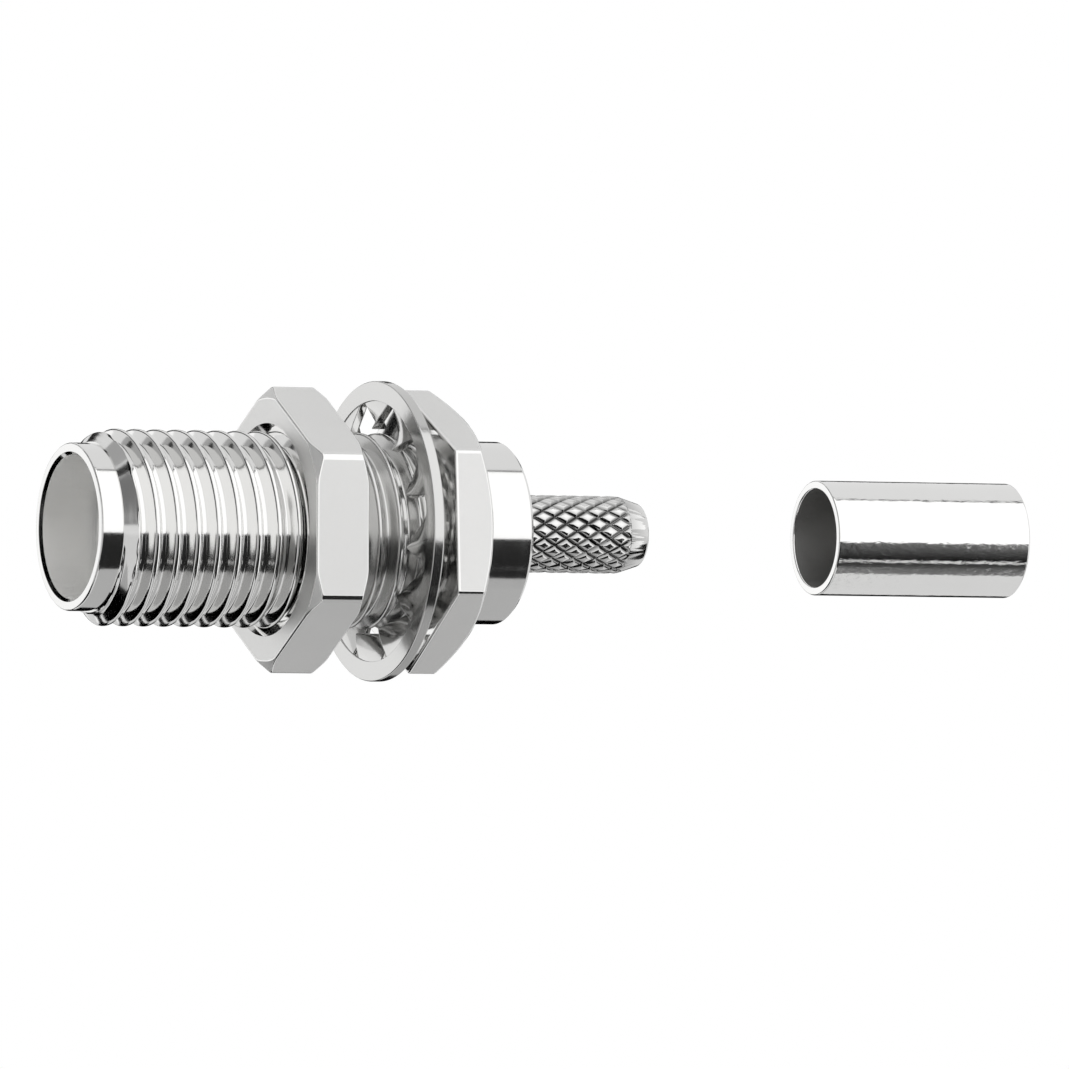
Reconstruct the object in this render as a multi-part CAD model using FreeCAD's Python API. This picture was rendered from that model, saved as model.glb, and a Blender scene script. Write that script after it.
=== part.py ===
import FreeCAD, Part
import math
import os

from FreeCAD import Vector

# Panel-mounted coaxial jack with a crimped cable end, its nut and lock washer, and its loose crimp ferrule.
# Lengths are in millimetres and angles in degrees. The axis runs along +X from the mouth to the cable end.
# x = 0 is the flange face that seats on the panel, and the flange's corners point up and down.

# Threaded barrel and mouth. The thread stands as rings one pitch apart, in place of a helix.
thread_major_radius = 3.15
thread_root_radius = 2.79
thread_pitch = 0.7056
thread_crest_width = 0.12
first_root_x = -10.235
thread_groove_count = 14
mouth_x = -11.76
lip_length = 0.73
lip_radius = 2.68
lip_chamfer = 0.05
thread_lead_radius = 2.72
mouth_bore_radius = 2.30
mouth_chamfer = 0.08
mouth_depth = 1.91
undercut_radius = 2.80
undercut_length = 0.29

# Hexagonal flange and rear collar
flange_across_flats = 7.94
flange_thickness = 1.30
flange_chamfer_angle = 30.0
flange_chamfer_radius = 3.95
collar_radius = 2.935
collar_end_x = 3.245
collar_chamfer = 0.12

# Insulators and their seats in the shell
insulator_radius = 2.05
insulator_joint_x = -1.60
insulator_end_x = 1.60

# Centre contact
contact_radius = 0.635
contact_recess = 0.05
socket_radius = 0.47
socket_depth = 2.90
socket_countersink = 0.08
slot_width = 0.15
slot_length = 2.40
shoulder_radius = 0.95
shoulder_length = 0.80
contact_end_x = 2.30
wire_cup_radius = 0.27
wire_cup_depth = 1.40

# Crimp stem
stem_flange_radius = 2.50
stem_flange_chamfer = 0.10
stem_cavity_radius = 1.50
stem_cavity_depth = 0.95
stem_radius = 1.25
stem_bore_radius = 0.80
stem_end_x = 8.22
stem_taper_length = 0.74
stem_tip_radius = 1.02
stem_tip_chamfer = 0.10

# Hexagonal nut
nut_across_flats = 8.0
nut_front_x = -4.895
nut_thickness = 1.845
nut_turn = 3.4
nut_bore_radius = 3.19
nut_countersink = 0.22
nut_corner_radius = 4.60
nut_chamfer_radius = 4.20
nut_chamfer_angle = 30.0

# Lock washer with twisted inner teeth
washer_middle_x = -0.98
washer_thickness = 0.36
washer_outer_radius = 4.815
washer_rim_radius = 4.17
tooth_count = 12
tooth_tip_radius = 3.28
tooth_bend_radius = 4.10
tooth_root_width = 1.78
tooth_tip_width = 1.26
tooth_twist = 36.0
first_gap_angle = 8.8

# Crimp ferrule, drawn back along the cable
ferrule_front_x = 14.60
ferrule_length = 6.90
ferrule_radius = 1.86
ferrule_bore_radius = 1.59
ferrule_edge_break = 0.06

# Worked out from the above
lip_end_x = mouth_x + lip_length
thread_start_x = lip_end_x + thread_major_radius - thread_lead_radius
undercut_slope = thread_major_radius - undercut_radius
reference_plane_x = mouth_x + mouth_depth
contact_tip_x = reference_plane_x + contact_recess
nut_rear_x = nut_front_x + nut_thickness
ferrule_rear_x = ferrule_front_x + ferrule_length

axis_start = Vector(0, 0, 0)
axis_direction = Vector(1, 0, 0)


def turned(points):
    """The solid that a closed outline of (x, radius) corners sweeps round the axis."""
    corners = [Vector(x, 0, radius) for x, radius in points]
    outline = Part.makePolygon(corners + corners[:1])
    return Part.Face(outline).revolve(axis_start, axis_direction, 360)


def rod(radius, start_x, end_x):
    """A plain round bar along the axis."""
    return Part.makeCylinder(radius, end_x - start_x, Vector(start_x, 0, 0), axis_direction)


def hexagonal_bar(across_flats, start_x, end_x, turn):
    """A hexagonal bar along the axis, with two corners up and down before it is turned."""
    corner_radius = across_flats / 2 / math.cos(math.radians(30))
    angles = [math.radians(90 + 60 * side + turn) for side in range(6)]
    corners = [Vector(start_x, corner_radius * math.cos(a), corner_radius * math.sin(a)) for a in angles]
    outline = Part.makePolygon(corners + corners[:1])
    return Part.Face(outline).extrude(Vector(end_x - start_x, 0, 0))


def thread_corners():
    """The (x, radius) corners of the thread, from the front of its first groove to the rear of its last."""
    half_groove = (thread_pitch - thread_crest_width) / 2
    corners = []
    for index in range(thread_groove_count):
        root_x = first_root_x + index * thread_pitch
        corners.append((root_x - half_groove, thread_major_radius))
        corners.append((root_x, thread_root_radius))
        corners.append((root_x + half_groove, thread_major_radius))
    return corners


def barrel_outside():
    """The threaded barrel, still solid inside, with the lip, the thread's lead and the undercut."""
    return turned([
        (mouth_x, 0),
        (mouth_x, lip_radius - lip_chamfer),
        (mouth_x + lip_chamfer, lip_radius),
        (lip_end_x, lip_radius),
        (lip_end_x, thread_lead_radius),
        (thread_start_x, thread_major_radius),
        *thread_corners(),
        (-undercut_length - undercut_slope, thread_major_radius),
        (-undercut_length, undercut_radius),
        (flange_thickness / 2, undercut_radius),
        (flange_thickness / 2, 0),
    ])


def flange():
    """The hexagonal flange, flat where it seats and with its rear corners turned to a cone."""
    corner_radius = flange_across_flats / 2 / math.cos(math.radians(30))
    over = 0.5
    slope = math.tan(math.radians(flange_chamfer_angle))
    outer = corner_radius + over
    cone = turned([
        (-over, 0),
        (-over, outer),
        (flange_thickness - (outer - flange_chamfer_radius) * slope, outer),
        (flange_thickness, flange_chamfer_radius),
        (flange_thickness, 0),
    ])
    return hexagonal_bar(flange_across_flats, 0, flange_thickness, 0).common(cone)


def collar():
    """The round collar behind the flange that takes the stem."""
    return turned([
        (flange_thickness / 2, 0),
        (flange_thickness / 2, collar_radius),
        (collar_end_x - collar_chamfer, collar_radius),
        (collar_end_x, collar_radius - collar_chamfer),
        (collar_end_x, 0),
    ])


def jack_shell():
    """The turned outer body in one piece, bored for the mouth, the insulators and the stem."""
    outside = barrel_outside().fuse(flange()).fuse(collar())
    mouth = turned([
        (mouth_x, 0),
        (mouth_x, mouth_bore_radius + mouth_chamfer),
        (mouth_x + mouth_chamfer, mouth_bore_radius),
        (reference_plane_x, mouth_bore_radius),
        (reference_plane_x, 0),
    ])
    insulator_bore = rod(insulator_radius, reference_plane_x, insulator_end_x)
    stem_bore = rod(stem_flange_radius, insulator_end_x, collar_end_x)
    return outside.cut(mouth).cut(insulator_bore).cut(stem_bore).removeSplitter()


def front_insulator():
    """The insulator that ends flush at the reference plane."""
    body = rod(insulator_radius, reference_plane_x, insulator_joint_x)
    return body.cut(rod(contact_radius, reference_plane_x, insulator_joint_x))


def rear_insulator():
    """The insulator behind it, counterbored for the contact's shoulder."""
    body = rod(insulator_radius, insulator_joint_x, insulator_end_x)
    through = rod(contact_radius, insulator_joint_x, insulator_end_x)
    seat = rod(shoulder_radius, insulator_joint_x, insulator_joint_x + shoulder_length)
    return body.cut(through).cut(seat)


def centre_contact():
    """The slotted socket contact, held by its shoulder between the insulators."""
    shoulder_end_x = insulator_joint_x + shoulder_length
    body = rod(contact_radius, contact_tip_x, contact_end_x)
    body = body.fuse(rod(shoulder_radius, insulator_joint_x, shoulder_end_x))
    socket = turned([
        (contact_tip_x, 0),
        (contact_tip_x, socket_radius + socket_countersink),
        (contact_tip_x + socket_countersink, socket_radius),
        (contact_tip_x + socket_depth, socket_radius),
        (contact_tip_x + socket_depth + socket_radius / 2, 0),
    ])
    body = body.cut(socket).cut(rod(wire_cup_radius, contact_end_x - wire_cup_depth, contact_end_x))
    for turn in (45, 135):
        reach = 2 * contact_radius
        slot = Part.makeBox(slot_length, slot_width, 2 * reach, Vector(contact_tip_x, -slot_width / 2, -reach))
        slot.rotate(axis_start, axis_direction, turn)
        body = body.cut(slot)
    return body


def crimp_stem():
    """The tube that the braid is crimped on, with the flange that is pressed into the collar."""
    body = turned([
        (insulator_end_x, 0),
        (insulator_end_x, stem_flange_radius - stem_flange_chamfer),
        (insulator_end_x + stem_flange_chamfer, stem_flange_radius),
        (collar_end_x, stem_flange_radius),
        (collar_end_x, stem_radius),
        (stem_end_x - stem_taper_length, stem_radius),
        (stem_end_x - stem_tip_chamfer, stem_tip_radius),
        (stem_end_x, stem_tip_radius - stem_tip_chamfer),
        (stem_end_x, 0),
    ])
    cavity = rod(stem_cavity_radius, insulator_end_x, insulator_end_x + stem_cavity_depth)
    return body.cut(cavity).cut(rod(stem_bore_radius, insulator_end_x, stem_end_x))


def hex_nut():
    """The panel nut, countersunk at both ends, its corners turned down and chamfered on both sides."""
    bar = hexagonal_bar(nut_across_flats, nut_front_x, nut_rear_x, nut_turn)
    chamfer_length = (nut_corner_radius - nut_chamfer_radius) * math.tan(math.radians(nut_chamfer_angle))
    corners = turned([
        (nut_front_x, 0),
        (nut_front_x, nut_chamfer_radius),
        (nut_front_x + chamfer_length, nut_corner_radius),
        (nut_rear_x - chamfer_length, nut_corner_radius),
        (nut_rear_x, nut_chamfer_radius),
        (nut_rear_x, 0),
    ])
    hole = turned([
        (nut_front_x, 0),
        (nut_front_x, nut_bore_radius + nut_countersink),
        (nut_front_x + nut_countersink, nut_bore_radius),
        (nut_rear_x - nut_countersink, nut_bore_radius),
        (nut_rear_x, nut_bore_radius + nut_countersink),
        (nut_rear_x, 0),
    ])
    return bar.common(corners).cut(hole)


def tooth_section(radius, width, twist):
    """A tooth's cross-section at one radius, upright on +Z, twisted about its own radial line."""
    half_width = width / 2
    half_thickness = washer_thickness / 2
    turn = math.radians(twist)
    corners = []
    for along, across in ((-1, -1), (1, -1), (1, 1), (-1, 1)):
        thick = along * half_thickness
        wide = across * half_width
        x = washer_middle_x + thick * math.cos(turn) + wide * math.sin(turn)
        y = wide * math.cos(turn) - thick * math.sin(turn)
        corners.append(Vector(x, y, radius))
    return Part.makePolygon(corners + corners[:1])


def washer_tooth():
    """One tooth, flat where it leaves the rim and twisted to its tip."""
    into_rim = (washer_rim_radius + washer_outer_radius) / 2
    sections = [
        tooth_section(into_rim, tooth_root_width, 0),
        tooth_section(tooth_bend_radius, tooth_root_width, 0),
        tooth_section(tooth_tip_radius, tooth_tip_width, tooth_twist),
    ]
    return Part.makeLoft(sections, True, True)


def lock_washer():
    """The flat rim with its ring of twisted teeth."""
    front_x = washer_middle_x - washer_thickness / 2
    rear_x = washer_middle_x + washer_thickness / 2
    rim = rod(washer_outer_radius, front_x, rear_x).cut(rod(washer_rim_radius, front_x, rear_x))
    pitch_angle = 360 / tooth_count
    teeth = []
    for index in range(tooth_count):
        tooth = washer_tooth()
        # The tooth stands on +Z. The gaps are counted from -Y upwards, so a tooth is half a pitch past each gap.
        tooth.rotate(axis_start, axis_direction, 90 - first_gap_angle - (index + 0.5) * pitch_angle)
        teeth.append(tooth)
    return rim.multiFuse(teeth).removeSplitter()


def crimp_ferrule():
    """The loose sleeve that is crimped over the braid, its edges broken."""
    inner_edge = ferrule_bore_radius + ferrule_edge_break
    outer_edge = ferrule_radius - ferrule_edge_break
    return turned([
        (ferrule_front_x, inner_edge),
        (ferrule_front_x, outer_edge),
        (ferrule_front_x + ferrule_edge_break, ferrule_radius),
        (ferrule_rear_x - ferrule_edge_break, ferrule_radius),
        (ferrule_rear_x, outer_edge),
        (ferrule_rear_x, inner_edge),
        (ferrule_rear_x - ferrule_edge_break, ferrule_bore_radius),
        (ferrule_front_x + ferrule_edge_break, ferrule_bore_radius),
    ])


pieces = {
    "jack_shell": jack_shell(),
    "front_insulator": front_insulator(),
    "centre_contact": centre_contact(),
    "rear_insulator": rear_insulator(),
    "crimp_stem": crimp_stem(),
    "hex_nut": hex_nut(),
    "lock_washer": lock_washer(),
    "crimp_ferrule": crimp_ferrule(),
}

os.makedirs("parts", exist_ok=True)
for name, shape in pieces.items():
    shape.exportStep(f"parts/{name}.step")
    print(name, "solids", len(shape.Solids), "valid", shape.isValid(), "volume", round(shape.Volume, 3))
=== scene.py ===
"""Looks of a panel-mounted coaxial jack with its nut, toothed washer, crimp stem and loose ferrule."""
import logging
import math
from dataclasses import dataclass, field
from enum import Enum, IntEnum

import bmesh
import bpy
import numpy as np
from mathutils import Matrix, Vector


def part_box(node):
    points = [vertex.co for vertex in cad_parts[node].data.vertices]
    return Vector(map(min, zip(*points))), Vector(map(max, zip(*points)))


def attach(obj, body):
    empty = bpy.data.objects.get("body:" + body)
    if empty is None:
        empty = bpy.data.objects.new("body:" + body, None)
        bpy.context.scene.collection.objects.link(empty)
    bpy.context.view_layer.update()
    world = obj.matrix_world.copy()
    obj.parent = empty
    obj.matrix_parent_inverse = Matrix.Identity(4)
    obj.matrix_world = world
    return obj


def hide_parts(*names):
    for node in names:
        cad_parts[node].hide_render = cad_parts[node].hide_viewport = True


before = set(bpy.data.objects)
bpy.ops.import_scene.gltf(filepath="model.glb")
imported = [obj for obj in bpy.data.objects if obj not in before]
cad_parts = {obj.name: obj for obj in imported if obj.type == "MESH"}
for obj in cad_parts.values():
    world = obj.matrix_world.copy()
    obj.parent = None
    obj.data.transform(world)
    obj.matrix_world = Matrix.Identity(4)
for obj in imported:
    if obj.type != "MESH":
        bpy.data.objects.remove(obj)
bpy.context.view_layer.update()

LOG = logging.getLogger("jack")
MM = 0.001
FULL_TURN = 2 * math.pi
MERGE_DISTANCE = 5e-8
SHARP_ANGLE = math.radians(32)
ROUND_STEPS = 5
ARC_ROWS = ROUND_STEPS + 3
GUARD_SHARE = 0.12
GROOVE_ATTRIBUTE = "groove"
FINE_DETAIL = 3.0
CARD_STEPS = 33


def box_mm(node: str) -> tuple[Vector, Vector]:
    """The lowest and highest corner of a CAD node, in millimetres.

    Args:
        node: The node's name in the frame.

    Returns:
        The two corners.
    """
    low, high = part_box(node)
    return low / MM, high / MM


class Lay(Enum):
    """The direction in which tool marks run on a plated surface."""

    TURNED = (11000.0, 260.0, 260.0)
    DRAWN = (3500.0, 9000.0, 9000.0)
    EVEN = (9000.0, 9000.0, 9000.0)


class ShellFinish(IntEnum):
    """The shell's finishes, in the order of its materials."""

    TURNED = 0
    MILLED = 1
    REAMED = 2
    # painted shade: a darker plate on the thread behind the nut
    SHADE_PAINTED = 3


class NutFinish(IntEnum):
    """The nut's finishes, in the order of its materials."""

    MILLED = 0
    TURNED = 1


class SleeveFinish(IntEnum):
    """The sleeve's finishes, in the order of its materials."""

    DRAWN = 0
    # painted shade: a darker plate inside the bore
    BORE_SHADE_PAINTED = 1


class Wire:
    """An output socket that adds Math nodes when it is used in an expression on single values."""

    def __init__(self, tree: "FinishTree", socket: bpy.types.NodeSocket) -> None:
        """Wraps one socket of a finish's node tree.

        Args:
            tree: The node tree.
            socket: The socket.
        """
        self.tree = tree
        self.socket = socket

    def combine(self, operation: str, first: "Wire | float", second: "Wire | float") -> "Wire":
        """Adds one Math node.

        Args:
            operation: The Math node's operation.
            first: Its first value.
            second: Its second value.

        Returns:
            The node's output.
        """
        return self.tree.node("ShaderNodeMath", {"operation": operation}, {0: first, 1: second})

    def __add__(self, other: "Wire | float") -> "Wire":
        """The sum."""
        return self.combine("ADD", self, other)

    def __radd__(self, other: float) -> "Wire":
        """The sum, with a number on the left."""
        return self.combine("ADD", other, self)

    def __sub__(self, other: "Wire | float") -> "Wire":
        """The difference."""
        return self.combine("SUBTRACT", self, other)

    def __rsub__(self, other: float) -> "Wire":
        """The difference, with a number on the left."""
        return self.combine("SUBTRACT", other, self)

    def __mul__(self, other: "Wire | float") -> "Wire":
        """The product."""
        return self.combine("MULTIPLY", self, other)

    def __rmul__(self, other: float) -> "Wire":
        """The product, with a number on the left."""
        return self.combine("MULTIPLY", other, self)


class FinishTree:
    """A material's node tree, built node by node."""

    def __init__(self, name: str) -> None:
        """Starts a material with an empty tree.

        Args:
            name: The material's name.
        """
        self.material = bpy.data.materials.new(name)
        self.material.use_nodes = True
        self.material.node_tree.nodes.clear()

    def node(self, kind: str, settings: dict | None = None, inputs: dict | None = None,
             output: int | str = 0) -> Wire:
        """Adds one node of any kind.

        Args:
            kind: The node's type.
            settings: Its own settings, which are set first.
            inputs: A value or a Wire for each input socket, by name or number.
            output: The output socket to return.

        Returns:
            That output, ready for expressions and links.
        """
        made = self.material.node_tree.nodes.new(kind)
        for key, value in (settings or {}).items():
            setattr(made, key, value)
        for key, value in (inputs or {}).items():
            if isinstance(value, Wire):
                self.material.node_tree.links.new(value.socket, made.inputs[key])
            else:
                made.inputs[key].default_value = value
        return Wire(self, made.outputs[output]) if made.outputs else Wire(self, None)

    def object_coordinates(self, scale: tuple[float, float, float]) -> Wire:
        """Object coordinates, stretched by a scale for each axis.

        Args:
            scale: Cycles to the metre along X, Y and Z.

        Returns:
            The scaled coordinates.
        """
        place = self.node("ShaderNodeTexCoord", output="Object")
        return self.node("ShaderNodeMapping", {"vector_type": "POINT"}, {"Vector": place, "Scale": scale})

    def noise(self, scale: tuple[float, float, float], detail: float = 2.0) -> Wire:
        """Noise on object coordinates, about 0.5 in the middle.

        Args:
            scale: Cycles to the metre along X, Y and Z.
            detail: Octaves of finer noise.

        Returns:
            The noise value.
        """
        inputs = {"Vector": self.object_coordinates(scale), "Scale": 1.0, "Detail": detail}
        return self.node("ShaderNodeTexNoise", {}, inputs)

    def mix_colour(self, factor: Wire, first: tuple, second: tuple) -> Wire:
        """A colour between two others.

        Args:
            factor: 0 for the first colour, 1 for the second.
            first: Linear red, green, blue.
            second: Linear red, green, blue.

        Returns:
            The mixed colour.
        """
        inputs = {0: factor, 6: (*first, 1.0), 7: (*second, 1.0)}
        return self.node("ShaderNodeMix", {"data_type": "RGBA"}, inputs, output=2)

    def finish(self, shader: Wire) -> bpy.types.Material:
        """Links the shader to the material's output.

        Args:
            shader: The surface shader.

        Returns:
            The finished material.
        """
        self.node("ShaderNodeOutputMaterial", {}, {"Surface": shader})
        return self.material


@dataclass(frozen=True)
class NickelPlate:
    """Nickel plate over turned, milled, stamped or drawn metal."""

    name: str
    colour: tuple[float, float, float] = (0.80, 0.798, 0.79)
    roughness: float = 0.10
    lay: Lay = Lay.TURNED
    mark_height_mm: float = 0.0006
    mark_roughness: float = 0.06
    wave_height_mm: float = 0.0014
    wave_scale: float = 1900.0
    wave_detail: float = 1.0
    cloud_scale: float = 420.0
    cloud_roughness: float = 0.05
    cloud_shade: float = 0.95
    groove_painted_shade: float | None = None

    def material(self) -> bpy.types.Material:
        """Builds the plate's material.

        Fine noise stretched along the tool marks gives the bump and part of the roughness, and broad noise
        gives the rest of the roughness and a slight random tone in the colour. A second bump is the plate's
        slow waviness. Where the piece has grooves, their own attribute darkens the plate in them as painted
        shade.

        Returns:
            The material.
        """
        tree = FinishTree(self.name)
        marks = tree.noise(self.lay.value, FINE_DETAIL)
        clouds = tree.noise((self.cloud_scale,) * 3, FINE_DETAIL)
        dull = tuple(channel * self.cloud_shade for channel in self.colour)
        colour = tree.mix_colour(clouds, dull, self.colour)
        # Painted shade: the grooves' depth attribute darkens the colour in the grooves.
        if self.groove_painted_shade is not None:
            groove = tree.node("ShaderNodeAttribute", {"attribute_name": GROOVE_ATTRIBUTE}, output="Fac")
            shade = 1 - groove * (1 - self.groove_painted_shade)
            colour = tree.node("ShaderNodeVectorMath", {"operation": "SCALE"}, {0: colour, "Scale": shade})
        roughness = self.roughness + (marks - 0.5) * self.mark_roughness
        roughness = roughness + (clouds - 0.5) * self.cloud_roughness
        waves = tree.noise((self.wave_scale,) * 3, self.wave_detail)
        wave_bump = tree.node("ShaderNodeBump", {}, {"Height": waves, "Distance": self.wave_height_mm * MM})
        bump = tree.node("ShaderNodeBump", {}, {
            "Height": marks,
            "Distance": self.mark_height_mm * MM,
            "Normal": wave_bump,
        })
        shader = tree.node("ShaderNodeBsdfPrincipled", {}, {
            "Base Color": colour,
            "Roughness": roughness,
            "Metallic": 1.0,
            "Normal": bump,
        })
        return tree.finish(shader)


@dataclass(frozen=True)
class GoldPlate:
    """Gold plate over a turned contact."""

    name: str = "gold_plate"
    colour: tuple[float, float, float] = (0.83, 0.58, 0.25)
    roughness: float = 0.16
    pale_share: float = 1.08
    mark_height_mm: float = 0.0006
    mark_roughness: float = 0.08

    def material(self) -> bpy.types.Material:
        """Builds gold with faint rings from turning.

        Returns:
            The material.
        """
        tree = FinishTree(self.name)
        marks = tree.noise(Lay.TURNED.value, FINE_DETAIL)
        pale = tuple(channel * self.pale_share for channel in self.colour)
        bump = tree.node("ShaderNodeBump", {}, {"Height": marks, "Distance": self.mark_height_mm * MM})
        shader = tree.node("ShaderNodeBsdfPrincipled", {}, {
            "Base Color": tree.mix_colour(marks, self.colour, pale),
            "Roughness": self.roughness + (marks - 0.5) * self.mark_roughness,
            "Metallic": 1.0,
            "Normal": bump,
        })
        return tree.finish(shader)


@dataclass(frozen=True)
class Fluoropolymer:
    """The waxy white plastic of the insulators."""

    name: str = "white_fluoropolymer"
    colour: tuple[float, float, float] = (0.86, 0.86, 0.84)
    shade: tuple[float, float, float] = (0.80, 0.80, 0.78)
    roughness: float = 0.42
    mottle_scale: float = 1500.0
    mottle_roughness: float = 0.12
    grain_height_mm: float = 0.0015
    refraction: float = 1.36

    def material(self) -> bpy.types.Material:
        """Builds the plastic, with an even grain and a soft mottle.

        Returns:
            The material.
        """
        tree = FinishTree(self.name)
        mottle = tree.noise((self.mottle_scale,) * 3, FINE_DETAIL)
        grain = tree.noise(Lay.EVEN.value)
        bump = tree.node("ShaderNodeBump", {}, {"Height": grain, "Distance": self.grain_height_mm * MM})
        shader = tree.node("ShaderNodeBsdfPrincipled", {}, {
            "Base Color": tree.mix_colour(mottle, self.shade, self.colour),
            "Roughness": self.roughness + (mottle - 0.5) * self.mottle_roughness,
            "IOR": self.refraction,
            "Normal": bump,
        })
        return tree.finish(shader)


class Finishes:
    """Every finish of the part, each made once."""

    def __init__(self) -> None:
        """Makes the materials."""
        self.turned = NickelPlate("turned_nickel").material()
        # Painted shade: a darker, duller plate for the thread behind the nut, standing in for the shade of
        # the nut and washer.
        self.shade_painted = NickelPlate("shade_painted_nickel", colour=(0.63, 0.628, 0.62),
                                     roughness=0.20).material()
        self.milled = NickelPlate("milled_nickel", colour=(0.76, 0.758, 0.75), roughness=0.46, lay=Lay.EVEN,
                                  mark_height_mm=0.0012, mark_roughness=0.10, cloud_shade=0.92).material()
        self.reamed = NickelPlate("reamed_nickel", colour=(0.92, 0.918, 0.91), roughness=0.60, lay=Lay.EVEN,
                                  mark_height_mm=0.002, mark_roughness=0.10).material()
        # Painted shade: a dark plate for the inside of the crimp sleeve, standing in for the shade in the
        # tube.
        self.bored = NickelPlate("bore_shade_painted_nickel", colour=(0.48, 0.478, 0.47), roughness=0.50, lay=Lay.EVEN,
                                 mark_height_mm=0.002, mark_roughness=0.10).material()
        # The washer's plate colour is painted darker as shade between the nut and the flange; its low
        # roughness is the stamped finish.
        self.stamped = NickelPlate("stamped_nickel_painted_shade", colour=(0.60, 0.598, 0.59), roughness=0.14, lay=Lay.EVEN,
                                   mark_height_mm=0.0008).material()
        self.drawn = NickelPlate("drawn_nickel", colour=(0.84, 0.838, 0.83), roughness=0.07, lay=Lay.DRAWN,
                                 mark_height_mm=0.0036, wave_height_mm=0.0016).material()
        # Painted shade in the knurl's grooves, down to a tenth of the plate's colour.
        self.knurled = NickelPlate("knurled_nickel", roughness=0.10, lay=Lay.EVEN, mark_height_mm=0.0005,
                                   groove_painted_shade=0.10).material()
        self.gold = GoldPlate().material()
        self.insulator = Fluoropolymer().material()


class Surface:
    """A closed mesh gathered from grids of points in millimetres."""

    def __init__(self) -> None:
        """Starts with no points."""
        self.points: list[np.ndarray] = []
        self.faces: list[np.ndarray] = []
        self.finishes: list[np.ndarray] = []
        self.count = 0

    def add_grid(self, points: np.ndarray, wrap_rows: bool = False, finish: np.ndarray | int = 0) -> None:
        """Adds a grid of points, with a four-cornered face between each four neighbours.

        Args:
            points: Points as an array of rows, columns and x, y, z.
            wrap_rows: Whether the last row is joined to the first.
            finish: The index of the faces' material, or an array of them that spreads over rows and columns.
        """
        rows, columns = points.shape[:2]
        index = np.arange(rows * columns).reshape(rows, columns)
        if wrap_rows:
            index = np.vstack([index, index[:1]])
        corners = [index[:-1, :-1], index[:-1, 1:], index[1:, 1:], index[1:, :-1]]
        quads = np.stack(corners, axis=-1)
        finishes = np.broadcast_to(finish, quads.shape[:2]).ravel()
        self.add_faces(points.reshape(-1, 3), quads.reshape(-1, 4), finishes)

    def add_faces(self, points: np.ndarray, faces: np.ndarray, finishes: np.ndarray | int = 0) -> None:
        """Adds loose points and the faces between them.

        Args:
            points: Points as an array of x, y, z.
            faces: The corners of each face, counted from this call's first point.
            finishes: The index of the faces' material, or one index for each face.
        """
        self.points.append(points)
        self.faces.append(faces + self.count)
        self.finishes.append(np.broadcast_to(finishes, len(faces)))
        self.count += len(points)

    def build(self, name: str, materials: list[bpy.types.Material]) -> bpy.types.Object:
        """Joins the grids into one closed, smooth mesh whose faces point outwards.

        Args:
            name: The piece's name.
            materials: Its materials, in the order of the finish indices.

        Returns:
            The piece.
        """
        mesh = bpy.data.meshes.new(name)
        faces = [face for part in self.faces for face in part.tolist()]
        mesh.from_pydata((np.vstack(self.points) * MM).tolist(), [], faces)
        mesh.polygons.foreach_set("material_index", np.concatenate(self.finishes).astype(np.int32))
        for material in materials:
            mesh.materials.append(material)
        work = bmesh.new()
        work.from_mesh(mesh)
        bmesh.ops.remove_doubles(work, verts=work.verts, dist=MERGE_DISTANCE)
        bmesh.ops.dissolve_degenerate(work, edges=work.edges, dist=MERGE_DISTANCE)
        bmesh.ops.recalc_face_normals(work, faces=work.faces)
        work.to_mesh(mesh)
        work.free()
        mesh.shade_smooth()
        mesh.set_sharp_from_angle(angle=SHARP_ANGLE)
        piece = bpy.data.objects.new(name, mesh)
        bpy.context.scene.collection.objects.link(piece)
        return piece


def around(x: np.ndarray, radius: np.ndarray, angle: np.ndarray) -> np.ndarray:
    """Points about the X axis: (x, radius times cosine, radius times sine of the angle from +Y towards +Z).

    Args:
        x: Places along the axis.
        radius: Distances from the axis.
        angle: Angles in radians.

    Returns:
        The points, with a last dimension of three.
    """
    x, radius, angle = np.broadcast_arrays(x, radius, angle)
    return np.stack([x, radius * np.cos(angle), radius * np.sin(angle)], axis=-1)


def unit(vectors: np.ndarray) -> np.ndarray:
    """The vectors divided by their lengths."""
    return vectors / np.linalg.norm(vectors, axis=-1, keepdims=True)


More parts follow.
